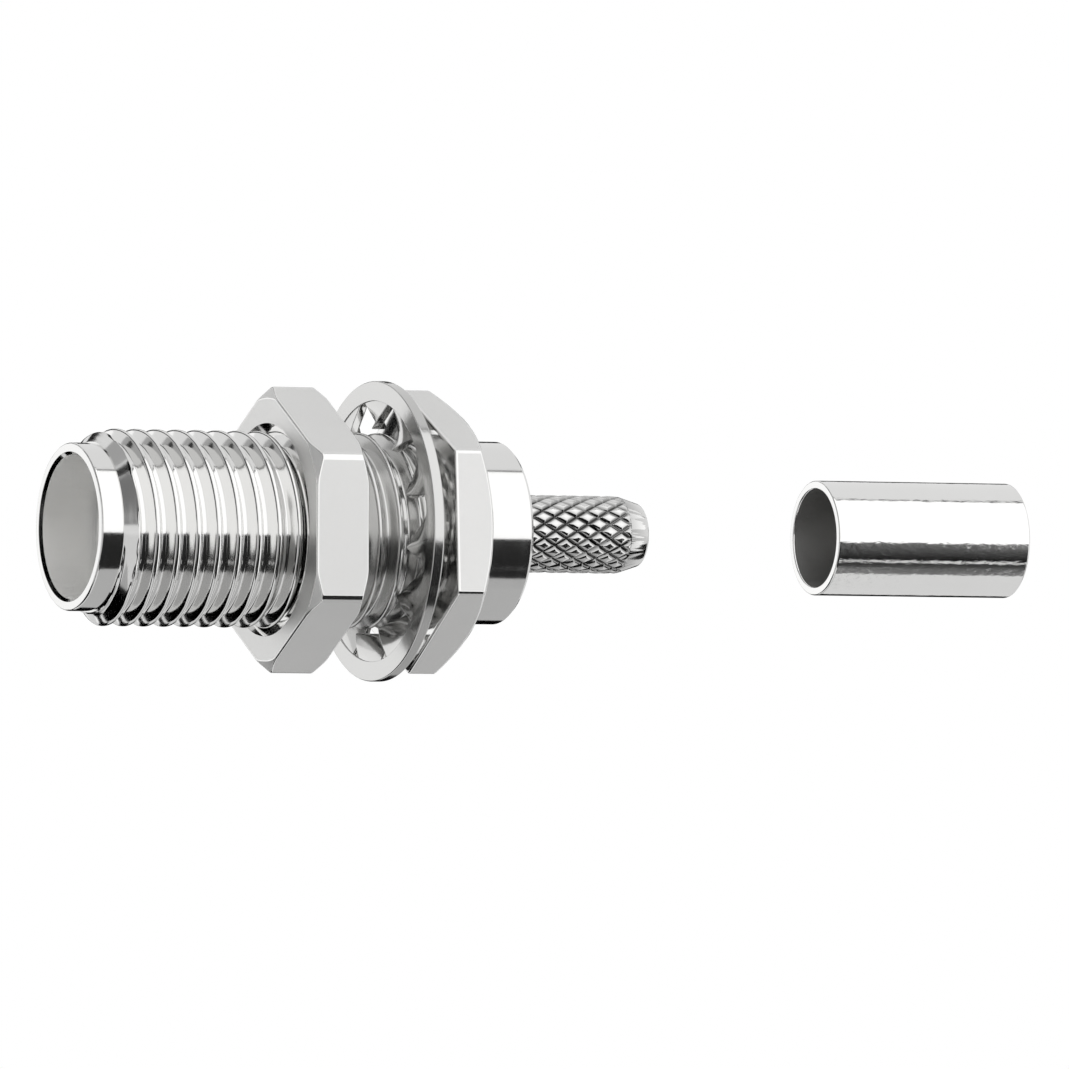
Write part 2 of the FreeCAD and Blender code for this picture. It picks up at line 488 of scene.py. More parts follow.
def rounded_path(corners: list[tuple], columns: int, steps: int = ROUND_STEPS) -> np.ndarray:
    """An outline of straight runs with tangent arcs in its corners, one outline for each column.

    An arc's centre lies on the corner's bisector, at its radius over the sine of half the corner's angle, and
    its points turn evenly from one tangent point to the other. A guard point stands just outside each tangent
    point, which keeps the shading of the straight runs plain. The path's two ends stay sharp.

    Args:
        corners: (x, radius, arc radius) of each corner, where x and radius may be one value for each column.
        columns: How many columns the outlines have.
        steps: Straight pieces in an arc.

    Returns:
        Points as an array of rows, columns and (x, radius).
    """
    places = np.array([[np.broadcast_to(x, columns), np.broadcast_to(r, columns)] for x, r, _ in corners])
    places = places.transpose(0, 2, 1)
    rows = [places[:1]]
    for number in range(1, len(corners) - 1):
        arc_radius = corners[number][2]
        here = places[number]
        if arc_radius == 0:
            rows.append(here[None])
            continue
        back, ahead = unit(places[number - 1] - here), unit(places[number + 1] - here)
        half = np.arccos(np.clip((back * ahead).sum(-1), -1, 1)) / 2
        reach = (arc_radius / np.tan(half))[:, None]
        centre = here + unit(back + ahead) * (arc_radius / np.sin(half))[:, None]
        start, end = here + back * reach - centre, here + ahead * reach - centre
        sweep = math.pi - 2 * half
        share = np.linspace(0, 1, steps + 1)[:, None]
        from_start = np.sin((1 - share) * sweep) / np.sin(sweep)
        from_end = np.sin(share * sweep) / np.sin(sweep)
        rows.append((here + back * reach * (1 + GUARD_SHARE))[None])
        rows.append(centre + from_start[..., None] * start + from_end[..., None] * end)
        rows.append((here + ahead * reach * (1 + GUARD_SHARE))[None])
    rows.append(places[-1:])
    return np.concatenate(rows)


@dataclass(frozen=True)
class Hexagon:
    """A hexagon about the axis with slightly rounded corners, two of them up and down before it is turned."""

    across_flats: float
    corner_round: float = 0.16
    turn_degrees: float = 0.0
    corner_columns: int = 7
    guard_reach: float = 1.2

    def corner_spread(self) -> float:
        """Half the angle that a rounded corner takes.

        Returns:
            The angle in radians.
        """
        half_flat = self.across_flats / 2
        tangent_angle = math.atan((half_flat - self.corner_round) * math.tan(math.pi / 6) / half_flat)
        return math.pi / 6 - tangent_angle

    def radius(self, angle: np.ndarray) -> np.ndarray:
        """The distance from the axis to the outline.

        On a flat it is half the width over the cosine of the angle from the flat's middle. In a corner it is
        that of a circle whose centre lies towards the corner.

        Args:
            angle: Angles from +Y towards +Z, in radians.

        Returns:
            The radii.
        """
        half_flat = self.across_flats / 2
        sixth = math.pi / 3
        from_flat = np.mod(angle - math.radians(self.turn_degrees) + sixth / 2, sixth) - sixth / 2
        from_corner = sixth / 2 - np.abs(from_flat)
        centre = (half_flat - self.corner_round) / math.cos(sixth / 2)
        inside = np.clip(self.corner_round ** 2 - (centre * np.sin(from_corner)) ** 2, 0, None)
        round_radius = centre * np.cos(from_corner) + np.sqrt(inside)
        return np.where(from_corner < self.corner_spread(), round_radius, half_flat / np.cos(from_flat))

    def flats(self, angle: np.ndarray) -> np.ndarray:
        """Which faces between a grid's columns lie on a flat, and not in a rounded corner.

        Args:
            angle: The grid's column angles.

        Returns:
            True for each face on a flat.
        """
        middle = (angle[1:] + angle[:-1]) / 2 - math.radians(self.turn_degrees)
        from_corner = np.abs(np.mod(middle - math.pi / 2 + math.pi / 6, math.pi / 3) - math.pi / 6)
        return from_corner > self.corner_spread()

    def columns(self, even: int) -> np.ndarray:
        """Angles for a grid: even steps, with closer ones through each corner.

        Args:
            even: How many even steps a full turn has.

        Returns:
            Angles from 0 to a full turn, both included.
        """
        spread = self.corner_spread()
        guard = self.guard_reach * spread
        through = np.concatenate([np.linspace(-spread, spread, self.corner_columns), [-guard, guard]])
        corners = math.pi / 2 + math.radians(self.turn_degrees) + np.arange(6) * math.pi / 3
        close = np.mod((corners[:, None] + through).ravel(), FULL_TURN)
        return np.unique(np.round(np.concatenate([np.linspace(0, FULL_TURN, even + 1), close]), 7))


@dataclass(frozen=True)
class Thread:
    """The right-handed thread of the barrel, with rounded crests and roots."""

    pitch: float = 0.7056
    crest_radius: float = 3.15
    root_radius: float = 2.77
    root_x: float = -10.375
    root_flat: float = 0.12
    root_softness: float = 0.015
    crest_softness: float = 0.035

    def radius(self, x: np.ndarray, angle: np.ndarray) -> np.ndarray:
        """The thread's radius: grooves with 60 degrees between their flanks, softly limited to the crest.

        The root runs along the axis by one pitch a turn, and stands at root_x on the side towards -Y. It
        has a narrow flat, and beside it the height follows a hyperbola whose far lines are the flanks.

        Args:
            x: Places along the axis.
            angle: Angles from +Y towards +Z, in radians.

        Returns:
            The radii.
        """
        turns = (x - self.root_x) / self.pitch - (angle - math.pi) / FULL_TURN
        from_root = (turns - np.round(turns)) * self.pitch
        from_flat = np.maximum(np.abs(from_root) - self.root_flat / 2, 0)
        height = (np.hypot(from_flat, self.root_softness) - self.root_softness) / math.tan(math.pi / 6)
        room = self.crest_radius - self.root_radius - height
        return self.crest_radius - (room + np.hypot(room, self.crest_softness)) / 2

    def rows(self, start_x: float, end_x: float, angle: np.ndarray, samples: int) -> np.ndarray:
        """Places along the axis for a grid whose rows follow the thread.

        Each row advances by one pitch a turn, and is held between the stretch's two ends, so that its end
        meets the start of the row one turn further on.

        Args:
            start_x: Where the threaded stretch starts.
            end_x: Where it ends.
            angle: The grid's column angles.
            samples: Rows to a pitch.

        Returns:
            Places along the axis, as rows and columns.
        """
        step = self.pitch / samples
        count = math.ceil((end_x - start_x + self.pitch) / step) + 1
        base = start_x - self.pitch + step * np.arange(count)
        return np.clip(base[:, None] + self.pitch * angle / FULL_TURN, start_x, end_x)


@dataclass
class JackShell:
    """The turned outer body: threaded barrel, hexagonal flange and collar, bored right through."""

    lip_length: float = 0.73
    lip_radius: float = 2.68
    lip_round: float = 0.08
    thread_lead_radius: float = 2.72
    thread_lead_slope: float = 1.25
    mouth_radius: float = 2.30
    mouth_chamfer: float = 0.10
    mouth_depth: float = 1.91
    bore_round: float = 0.02
    undercut_radius: float = 2.77
    undercut_length: float = 0.29
    undercut_fillet: float = 0.08
    flange_thickness: float = 1.30
    flange_chamfer_degrees: float = 30.0
    flange_chamfer_radius: float = 3.95
    collar_radius: float = 2.935
    collar_chamfer: float = 0.12
    collar_fillet: float = 0.06
    chamfer_round: float = 0.03
    insulator_radius: float = 2.05
    insulator_end_x: float = 1.60
    stem_seat_radius: float = 2.50
    edge_round: float = 0.09
    thread: Thread = field(default_factory=Thread)
    hexagon: Hexagon = field(default_factory=lambda: Hexagon(7.94))
    even_columns: int = 144
    samples_to_pitch: int = 24

    def lip_rows(self, mouth_x: float, columns: int) -> np.ndarray:
        """The outline from the mouth's bore over the lip to where the thread starts.

        Args:
            mouth_x: Where the mouth is.
            columns: How many columns the grid has.

        Returns:
            The rows.
        """
        lip_end_x = mouth_x + self.lip_length
        return rounded_path([
            (mouth_x + self.mouth_chamfer, self.mouth_radius, 0),
            (mouth_x, self.mouth_radius + self.mouth_chamfer, self.bore_round),
            (mouth_x, self.lip_radius, self.lip_round),
            (lip_end_x, self.lip_radius, 0),
            (lip_end_x, self.thread_lead_radius, 0),
        ], columns)

    def threaded_rows(self, start_x: float, end_x: float, angle: np.ndarray) -> np.ndarray:
        """The threaded stretch, cut to cones at both ends.

        Args:
            start_x: Where the stretch starts.
            end_x: Where it ends.
            angle: The grid's column angles.

        Returns:
            The rows.
        """
        x = self.thread.rows(start_x, end_x, angle, self.samples_to_pitch)
        lead = self.thread_lead_radius + (x - start_x) * self.thread_lead_slope
        run_out = self.undercut_radius + (end_x - x)
        radius = np.minimum(self.thread.radius(x, angle), np.minimum(lead, run_out))
        return np.stack([x, radius], axis=-1)

    def rear_rows(self, mouth_x: float, collar_end_x: float, angle: np.ndarray) -> np.ndarray:
        """The outline from the undercut over the flange and collar and back through the bores.

        The flange's rear corners lie on a cone, so that each column's flat ends where the cone meets it.

        Args:
            mouth_x: Where the mouth is.
            collar_end_x: Where the collar ends.
            angle: The grid's column angles.

        Returns:
            The rows.
        """
        flange_radius = self.hexagon.radius(angle)
        slope = math.tan(math.radians(self.flange_chamfer_degrees))
        chamfer_x = self.flange_thickness - (flange_radius - self.flange_chamfer_radius) * slope
        reference_x = mouth_x + self.mouth_depth
        return rounded_path([
            (-self.undercut_length, self.undercut_radius, 0),
            (0, self.undercut_radius, self.undercut_fillet),
            (0, flange_radius, self.edge_round),
            (chamfer_x, flange_radius, self.edge_round),
            (self.flange_thickness, self.flange_chamfer_radius, self.chamfer_round),
            (self.flange_thickness, self.collar_radius, self.collar_fillet),
            (collar_end_x - self.collar_chamfer, self.collar_radius, self.chamfer_round),
            (collar_end_x, self.collar_radius - self.collar_chamfer, self.chamfer_round),
            (collar_end_x, self.stem_seat_radius, self.bore_round),
            (self.insulator_end_x, self.stem_seat_radius, 0),
            (self.insulator_end_x, self.insulator_radius, 0),
            (reference_x, self.insulator_radius, self.bore_round),
            (reference_x, self.mouth_radius, 0),
        ], len(angle))

    def build(self, finishes: Finishes) -> bpy.types.Object:
        """Builds the shell as one closed grid: turned, with the flange's flats milled and the mouth bored.

        The plate is painted darker on the stretch of thread behind the nut: painted shade from the nut and
        washer.

        Args:
            finishes: The part's finishes.

        Returns:
            The piece.
        """
        low, high = box_mm("jack_shell")
        angle = self.hexagon.columns(self.even_columns)
        lip_end_x = low.x + self.lip_length
        lip = self.lip_rows(low.x, len(angle))
        barrel = self.threaded_rows(lip_end_x, -self.undercut_length, angle)
        rear = self.rear_rows(low.x, high.x, angle)
        rows = np.concatenate([lip, barrel, rear])
        finish = np.full((len(rows), len(angle) - 1), ShellFinish.TURNED)
        rear_row = len(lip) + len(barrel)
        flats = self.hexagon.flats(angle)
        finish[rear_row + 2 * ARC_ROWS] = np.where(flats, ShellFinish.MILLED, ShellFinish.TURNED)
        finish[-1] = ShellFinish.REAMED
        # The thread behind the nut gets the painted shade.
        behind_nut = barrel[:, :-1, 0] > box_mm("hex_nut")[1].x
        finish[len(lip):rear_row][behind_nut] = ShellFinish.SHADE_PAINTED
        surface = Surface()
        surface.add_grid(around(rows[..., 0], rows[..., 1], angle), wrap_rows=True, finish=finish)
        materials = [finishes.turned, finishes.milled, finishes.reamed, finishes.shade_painted]
        return surface.build("threaded_shell", materials)


@dataclass
class PanelNut:
    """The hexagonal nut, threaded right through and countersunk at both ends."""

    bore_radius: float = 3.19
    countersink: float = 0.22
    chamfer_radius: float = 4.20
    chamfer_degrees: float = 30.0
    edge_break: float = 0.06
    edge_round: float = 0.06
    thread_gap: float = 0.035
    crest_radius: float = 2.86
    thread: Thread = field(default_factory=Thread)
    hexagon: Hexagon = field(default_factory=lambda: Hexagon(8.0, 0.28, 3.4))
    even_columns: int = 144
    samples_to_pitch: int = 16

    def build(self, finishes: Finishes) -> bpy.types.Object:
        """Builds the nut as one closed grid, its thread a small gap outside the barrel's.

        Its edges are broken all round, and where the outline stands out past the chamfer's radius the
        corners are cut back on a cone.

        Args:
            finishes: The part's finishes.

        Returns:
            The piece.
        """
        low, high = box_mm("hex_nut")
        angle = self.hexagon.columns(self.even_columns)
        outline = self.hexagon.radius(angle)
        mouth_radius = self.bore_radius + self.countersink
        face_radius = np.minimum(outline - self.edge_break, self.chamfer_radius)
        chamfer = (outline - face_radius) * math.tan(math.radians(self.chamfer_degrees))
        outside = rounded_path([
            (low.x, mouth_radius, 0),
            (low.x, face_radius, self.edge_round),
            (low.x + chamfer, outline, self.edge_round),
            (high.x - chamfer, outline, self.edge_round),
            (high.x, face_radius, self.edge_round),
            (high.x, mouth_radius, 0),
        ], len(angle))
        x = self.thread.rows(low.x, high.x, angle, self.samples_to_pitch)[::-1]
        thread = np.clip(self.thread.radius(x, angle) + self.thread_gap, self.crest_radius, self.bore_radius)
        cone = mouth_radius - np.minimum(x - low.x, high.x - x)
        inside = np.stack([x, np.maximum(thread, cone)], axis=-1)
        rows = np.concatenate([outside, inside])
        finish = np.full((len(rows), len(angle) - 1), NutFinish.TURNED)
        finish[[0, ARC_ROWS, 3 * ARC_ROWS, 4 * ARC_ROWS]] = NutFinish.MILLED
        finish[2 * ARC_ROWS] = np.where(self.hexagon.flats(angle), NutFinish.MILLED, NutFinish.TURNED)
        surface = Surface()
        surface.add_grid(around(rows[..., 0], rows[..., 1], angle), wrap_rows=True, finish=finish)
        return surface.build("panel_nut", [finishes.milled, finishes.turned])


@dataclass
class LockWasher:
    """The flat rim and its ring of twisted inner teeth."""

    rim_radius: float = 4.17
    rim_thickness: float = 0.36
    edge_round: float = 0.05
    tooth_count: int = 12
    tooth_tip_radius: float = 3.28
    tooth_bend_radius: float = 4.10
    tooth_root_width: float = 1.78
    tooth_tip_width: float = 1.26
    tooth_mean_width: float = 1.5
    root_reach: float = 0.2
    tip_break: float = 0.015
    tip_shrink: tuple[float, float] = (0.97, 0.80)
    width_shrink_power: float = 0.4
    twist_degrees: float = 36.0
    twist_power: float = 1.2
    first_gap_degrees: float = 8.8
    root_step: float = 0.035
    rim_columns: int = 144
    section_steps: int = 32
    stations: int = 18

    def tooth_section(self, thickness: float) -> np.ndarray:
        """A rectangle with rounded corners, one unit wide.

        Args:
            thickness: The tooth's thickness.

        Returns:
            (along the thickness, share of the width) round the section, its last point the same as its first.
        """
        turn = np.linspace(0, FULL_TURN, self.section_steps + 1)
        corner = self.edge_round
        share = corner / self.tooth_mean_width
        along = np.sign(np.cos(turn)) * (thickness / 2 - corner) + corner * np.cos(turn)
        across = np.sign(np.sin(turn)) * (0.5 - share) + share * np.sin(turn)
        return np.stack([along, across], axis=-1)

    def teeth(self, middle_x: float, thickness: float) -> np.ndarray:
        """All teeth as closed tubes along their radial lines.

        A tooth's section is turned about its radial line by an angle that grows smoothly from the bend to
        the tip, and narrows evenly. At both ends it shrinks to a point, which closes it. The teeth follow one
        another about the axis from the first gap, which lies a few degrees above -Y.

        Args:
            middle_x: The middle of the washer's thickness.
            thickness: The washer's thickness.

        Returns:
            Points as teeth, stations, section points and x, y, z.
        """
        section = self.tooth_section(thickness - 2 * self.root_step)
        root = (self.rim_radius + self.tooth_bend_radius) / 2 + self.root_reach
        tip = self.tooth_tip_radius
        radius = np.concatenate([[root, root], np.linspace(root, tip + self.edge_round, self.stations),
                                 [tip + self.tip_break, tip, tip]])
        share = np.clip((self.tooth_bend_radius - radius) / (self.tooth_bend_radius - tip), 0, 1)
        twist = math.radians(self.twist_degrees) * share ** self.twist_power
        width = self.tooth_root_width + (self.tooth_tip_width - self.tooth_root_width) * share
        shrink = np.ones(len(radius))
        shrink[0] = shrink[-1] = 0
        shrink[-3:-1] = self.tip_shrink
        thick = section[:, 0] * shrink[:, None]
        wide = section[:, 1] * width[:, None] * (shrink[:, None] ** self.width_shrink_power)
        x = middle_x + thick * np.cos(twist)[:, None] + wide * np.sin(twist)[:, None]
        side = wide * np.cos(twist)[:, None] - thick * np.sin(twist)[:, None]
        pitch = 360 / self.tooth_count
        numbers = np.arange(self.tooth_count)
        turn = np.radians(180 - self.first_gap_degrees - (numbers + 0.5) * pitch)[:, None, None]
        y = radius[None, :, None] * np.cos(turn) + side * np.sin(turn)
        z = radius[None, :, None] * np.sin(turn) - side * np.cos(turn)
        return np.stack([np.broadcast_to(x, y.shape), y, z], axis=-1)

    def build(self, finishes: Finishes) -> bpy.types.Object:
        """Builds the rim and the teeth that are rooted in it.

        Args:
            finishes: The part's finishes.

        Returns:
            The piece.
        """
        low, high = box_mm("lock_washer")
        front_x, rear_x, outer_radius = self.rim_faces(low, high)
        angle = np.linspace(0, FULL_TURN, self.rim_columns + 1)
        middle_radius = (self.rim_radius + outer_radius) / 2
        rim = rounded_path([
            (front_x, middle_radius, 0),
            (front_x, outer_radius, self.edge_round),
            (rear_x, outer_radius, self.edge_round),
            (rear_x, self.rim_radius, self.edge_round),
            (front_x, self.rim_radius, self.edge_round),
            (front_x, middle_radius, 0),
        ], len(angle))
        surface = Surface()
        surface.add_grid(around(rim[..., 0], rim[..., 1], angle))
        for tooth in self.teeth((front_x + rear_x) / 2, rear_x - front_x):
            surface.add_grid(tooth)
        # The washer's darker plate is painted shade from the nut and flange.
        return surface.build("toothed_washer", [finishes.stamped])

    def rim_faces(self, low: Vector, high: Vector) -> tuple[float, float, float]:
        """The rim's two faces and its outer radius, in the middle of the teeth's twisted width.

        Args:
            low: The lowest corner of the washer's box.
            high: Its highest corner.

        Returns:
            Where the front face is, where the rear face is, and the radius.
        """
        middle_x = (low.x + high.x) / 2
        return middle_x - self.rim_thickness / 2, middle_x + self.rim_thickness / 2, high.z


@dataclass
class CrimpStem:
    """The knurled tube that the braid is crimped on, with the flange that is pressed into the collar."""

    flange_chamfer: float = 0.10
    cavity_radius: float = 1.50
    cavity_depth: float = 0.95
    stem_radius: float = 1.25
    bore_radius: float = 0.80
    bore_round: float = 0.04
    collar_fillet: float = 0.02
    tip_round: float = 0.13
    tip_radius: float = 1.00
    tip_steps: int = 8
    knurl_end_radius: float = 1.23
    knurl_end_gap: float = 0.74
    knurl_depth: float = 0.12
    fade_length: float = 0.12
    diamonds_around: int = 16
    diamond_length: float = 0.775
    samples_to_diamond: int = 14

    def knurl_radius(self, x: np.ndarray, angle: np.ndarray, start_x: float, end_x: float) -> np.ndarray:
        """The radius of the diamond knurl.

        Two sets of grooves cross, one winding each way. Between them each diamond rises steeply from the
        grooves and is nearly flat in its middle: its height is the lower of one less the fourth power of the
        distance from the middle line, for each set. The knurl fades out at its end.

        Args:
            x: Places along the axis.
            angle: Angles from +Y towards +Z, in radians.
            start_x: Where the knurl starts.
            end_x: Where it ends.

        Returns:
            The radii.
        """
        across = angle * self.diamonds_around / FULL_TURN
        along = (x - start_x) / self.diamond_length
        heights = []
        for path in (across + along, across - along):
            from_groove = np.abs(path - np.round(path))
            heights.append(1 - (1 - 2 * from_groove) ** 4)
        height = np.minimum(*heights)
        fade = np.clip((end_x - x) / self.fade_length, 0, 1)
        plain = self.knurl_end_radius + (self.stem_radius - self.knurl_end_radius) * fade
        return plain - self.knurl_depth * (1 - height) * fade

    def knurl_grid(self, start_x: float, end_x: float) -> tuple[np.ndarray, np.ndarray]:
        """The knurl as small diamond faces whose edges run along both sets of grooves.

        Every second row is shifted by half a step, and each face joins a point to its neighbours in the next
        two rows. The first and last rows are closed with triangles, given as faces with a doubled corner.

        Args:
            start_x: Where the knurl starts.
            end_x: Where it ends.

        Returns:
            Points and faces.
        """
        around_count = self.diamonds_around * self.samples_to_diamond
        row_step = self.diamond_length / (2 * self.samples_to_diamond)
        row_count = 2 * round((end_x - start_x) / row_step / 2) + 1
        row = np.arange(row_count)
        x = np.linspace(start_x, end_x, row_count)[:, None]
        angle = (np.arange(around_count) + (row % 2)[:, None] / 2) * FULL_TURN / around_count
        points = around(x, self.knurl_radius(x, angle, start_x, end_x), angle)
        column = np.arange(around_count)

        def index(rows: np.ndarray, columns: np.ndarray) -> np.ndarray:
            """The number of each point, counted round the closed rows."""
            return rows * around_count + columns % around_count

        middle = row[1:-1, None]
        shift = middle % 2
        faces = np.stack([
            index(middle - 1, column + shift),
            index(middle, column + 1),
            index(middle + 1, column + shift),
            index(middle, column),
        ], axis=-1).reshape(-1, 4)
        ends = []
        for edge, inner in ((0, 1), (row_count - 1, row_count - 2)):
            first, second = index(np.array(edge), column), index(np.array(edge), column + 1)
            ends.append(np.stack([first, second, index(np.array(inner), column), first], axis=-1))
        return points.reshape(-1, 3), np.concatenate([faces, *ends])

    def build(self, finishes: Finishes) -> bpy.types.Object:
        """Builds the stem: the knurl, and the rest as one grid from the tip round to the knurl's start.

        Args:
            finishes: The part's finishes.

        Returns:
            The piece.
        """
        low, high = box_mm("crimp_stem")
        collar_end_x = box_mm("jack_shell")[1].x
        flange_radius = high.z
        knurl_end_x = high.x - self.knurl_end_gap
        around_count = self.diamonds_around * self.samples_to_diamond
        angle = np.linspace(0, FULL_TURN, around_count + 1)
        start_radius = self.knurl_radius(np.array(collar_end_x), angle, collar_end_x, knurl_end_x)
        outline = rounded_path([
            (knurl_end_x, self.knurl_end_radius, 0),
            (high.x, self.tip_radius, self.tip_round),
            (high.x, self.bore_radius, self.bore_round),
            (low.x + self.cavity_depth, self.bore_radius, 0),
            (low.x + self.cavity_depth, self.cavity_radius, 0),
            (low.x, self.cavity_radius, 0),
            (low.x, flange_radius - self.flange_chamfer, 0),
            (low.x + self.flange_chamfer, flange_radius, 0),
            (collar_end_x, flange_radius, self.collar_fillet),
            (collar_end_x, start_radius, 0),
        ], len(angle), self.tip_steps)
        surface = Surface()
        surface.add_grid(around(outline[..., 0], outline[..., 1], angle))
        surface.add_faces(*self.knurl_grid(collar_end_x, knurl_end_x))
        stem = surface.build("knurled_stem", [finishes.knurled])
        self.mark_grooves(stem.data, collar_end_x, knurl_end_x)
        return stem

    def mark_grooves(self, mesh: bpy.types.Mesh, start_x: float, end_x: float) -> None:
        """Stores how far into a groove each point of the knurl lies, from 0 on a diamond to 1 in a groove.

        It is the square root of how much lower than the stem's radius the point is, over the knurl's depth.
        The knurled plate paints shade into the grooves by it.

        Args:
            mesh: The stem's mesh.
            start_x: Where the knurl starts.
            end_x: Where it ends.
        """
        flat = np.empty(len(mesh.vertices) * 3)
        mesh.vertices.foreach_get("co", flat)
        x, y, z = flat.reshape(-1, 3).T / MM
        depth = np.clip((self.stem_radius - np.hypot(y, z)) / self.knurl_depth, 0, 1)
        in_knurl = (x > start_x) & (x < end_x)
        groove = mesh.attributes.new(GROOVE_ATTRIBUTE, "FLOAT", "POINT")
        groove.data.foreach_set("value", np.sqrt(depth) * in_knurl)


@dataclass
class CentreContact:
    """The gold socket contact, its tip slotted into four fingers."""

    radius: float = 0.635
    socket_radius: float = 0.47
    socket_depth: float = 2.90
    tip_profile: tuple[tuple[float, float, float], ...] = (
        (0.0, 0.05, 0.08),
        (0.03, 0.015, 0.05),
        (0.08, 0.0, 0.0),
    )
    tip_guard: float = 0.5
    slot_width: float = 0.15
    slot_length: float = 2.40
    insulator_joint_x: float = -1.60
    shoulder_length: float = 0.80
    shoulder_round: float = 0.03
    end_round: float = 0.04
    wire_cup_radius: float = 0.27
    wire_cup_depth: float = 1.40
    wire_cup_round: float = 0.02
    wire_cup_point: float = 0.1
    fingers: int = 4
    finger_overlap: float = 0.2
    finger_columns: int = 11
    columns: int = 64

    def finger(self, tip_x: float, number: int) -> np.ndarray:
        """One finger: a quarter of the tube, less half a slot at each side, closed at both ends.

        The tip's profile gives places behind the tip, and how much is cut off the outer and the inner wall
        there. The finger's section runs along the outer wall, across the side, back along the inner wall and
        across the other side. The half angle of each wall is a quarter turn's half less the angle of half a
        slot at that radius.

        Args:
            tip_x: Where the tip is.
            number: Which finger, counted round the axis.

        Returns:
            Points as stations, section points and x, y, z.
        """
        tip = np.array(self.tip_profile)
        plain = [[place, 0, 0] for place in (self.tip_guard, self.slot_length,
                                             self.slot_length + self.finger_overlap)]
        along, outer_cut, inner_cut = np.concatenate([tip[:1], tip, plain]).T
        x = tip_x + along
        outer = self.radius - outer_cut
        inner = self.socket_radius + inner_cut
        quarter = FULL_TURN / self.fingers
        middle = (number + 0.5) * quarter + quarter / 2
        share = np.linspace(-1, 1, self.finger_columns)
        half_outer = quarter / 2 - np.arcsin(self.slot_width / 2 / outer)[:, None]
        half_inner = quarter / 2 - np.arcsin(self.slot_width / 2 / inner)[:, None]
        angle = np.hstack([middle + half_outer * share, middle - half_inner * share, middle - half_outer])
        walls = [np.repeat(wall[:, None], self.finger_columns, 1) for wall in (outer, inner)]
        radius = np.hstack([*walls, outer[:, None]])
        points = around(x[:, None], radius, angle)
        points[0] = points[0].mean(axis=0)
        return np.concatenate([points, np.broadcast_to(points[-1].mean(axis=0), points[-1:].shape)])

    def build(self, finishes: Finishes) -> bpy.types.Object:
        """Builds the fingers and the barrel behind them.

        Args:
            finishes: The part's finishes.

        Returns:
            The piece.
        """
        low, high = box_mm("centre_contact")
        slot_end_x = low.x + self.slot_length
        shoulder_radius = high.z
        shoulder_end_x = self.insulator_joint_x + self.shoulder_length
        angle = np.linspace(0, FULL_TURN, self.columns + 1)
        barrel = rounded_path([
            (slot_end_x, self.socket_radius, 0),
            (slot_end_x, self.radius, 0),
            (self.insulator_joint_x, self.radius, 0),
            (self.insulator_joint_x, shoulder_radius, self.shoulder_round),
            (shoulder_end_x, shoulder_radius, self.shoulder_round),
            (shoulder_end_x, self.radius, 0),
            (high.x, self.radius, self.end_round),
            (high.x, self.wire_cup_radius, self.wire_cup_round),
            (high.x - self.wire_cup_depth, self.wire_cup_radius, 0),
            (high.x - self.wire_cup_depth - self.wire_cup_point, 0, 0),
            (low.x + self.socket_depth + self.socket_radius / 2, 0, 0),
            (low.x + self.socket_depth, self.socket_radius, 0),
            (slot_end_x, self.socket_radius, 0),
        ], len(angle))
        surface = Surface()
        surface.add_grid(around(barrel[..., 0], barrel[..., 1], angle))
        for number in range(self.fingers):
            surface.add_grid(self.finger(low.x, number))
        return surface.build("slotted_contact", [finishes.gold])


@dataclass
class FrontInsulator:
    """The white insulator that fills the shell behind the mouth."""

    hole_radius: float = 0.635
    edge_round: float = 0.04
    columns: int = 96

    def build(self, finishes: Finishes) -> bpy.types.Object:
        """Builds the insulator as a closed ring.

        Args:
            finishes: The part's finishes.

        Returns:
            The piece.
        """
        low, high = box_mm("front_insulator")
        angle = np.linspace(0, FULL_TURN, self.columns + 1)
        outline = rounded_path([
            (high.x, self.hole_radius, 0),
            (low.x, self.hole_radius, self.edge_round),
            (low.x, high.z, self.edge_round),
            (high.x, high.z, 0),
            (high.x, self.hole_radius, 0),
        ], len(angle))
        surface = Surface()
        surface.add_grid(around(outline[..., 0], outline[..., 1], angle))
        return surface.build("insulator_ring", [finishes.insulator])


@dataclass
class CrimpFerrule:
    """The loose sleeve that is crimped over the braid."""

    bore_radius: float = 1.59
    edge_round: float = 0.06
    columns: int = 128

    def build(self, finishes: Finishes) -> bpy.types.Object:
        """Builds the sleeve as one closed tube with rounded edges.

        Args:
            finishes: The part's finishes.

        Returns:
            The piece.
        """
        low, high = box_mm("crimp_ferrule")
        angle = np.linspace(0, FULL_TURN, self.columns + 1)
        middle_x = (low.x + high.x) / 2
        outline = rounded_path([
            (middle_x, high.z, 0),
            (high.x, high.z, self.edge_round),
            (high.x, self.bore_radius, self.edge_round),
            (low.x, self.bore_radius, self.edge_round),
            (low.x, high.z, self.edge_round),
            (middle_x, high.z, 0),
        ], len(angle))
        surface = Surface()
        finish = np.full((len(outline) - 1, 1), SleeveFinish.DRAWN)
        # The bore gets the darker plate as painted shade.
        finish[2 * ARC_ROWS] = SleeveFinish.BORE_SHADE_PAINTED
        surface.add_grid(around(outline[..., 0], outline[..., 1], angle), finish=finish)
        return surface.build("crimp_sleeve", [finishes.drawn, finishes.bored])


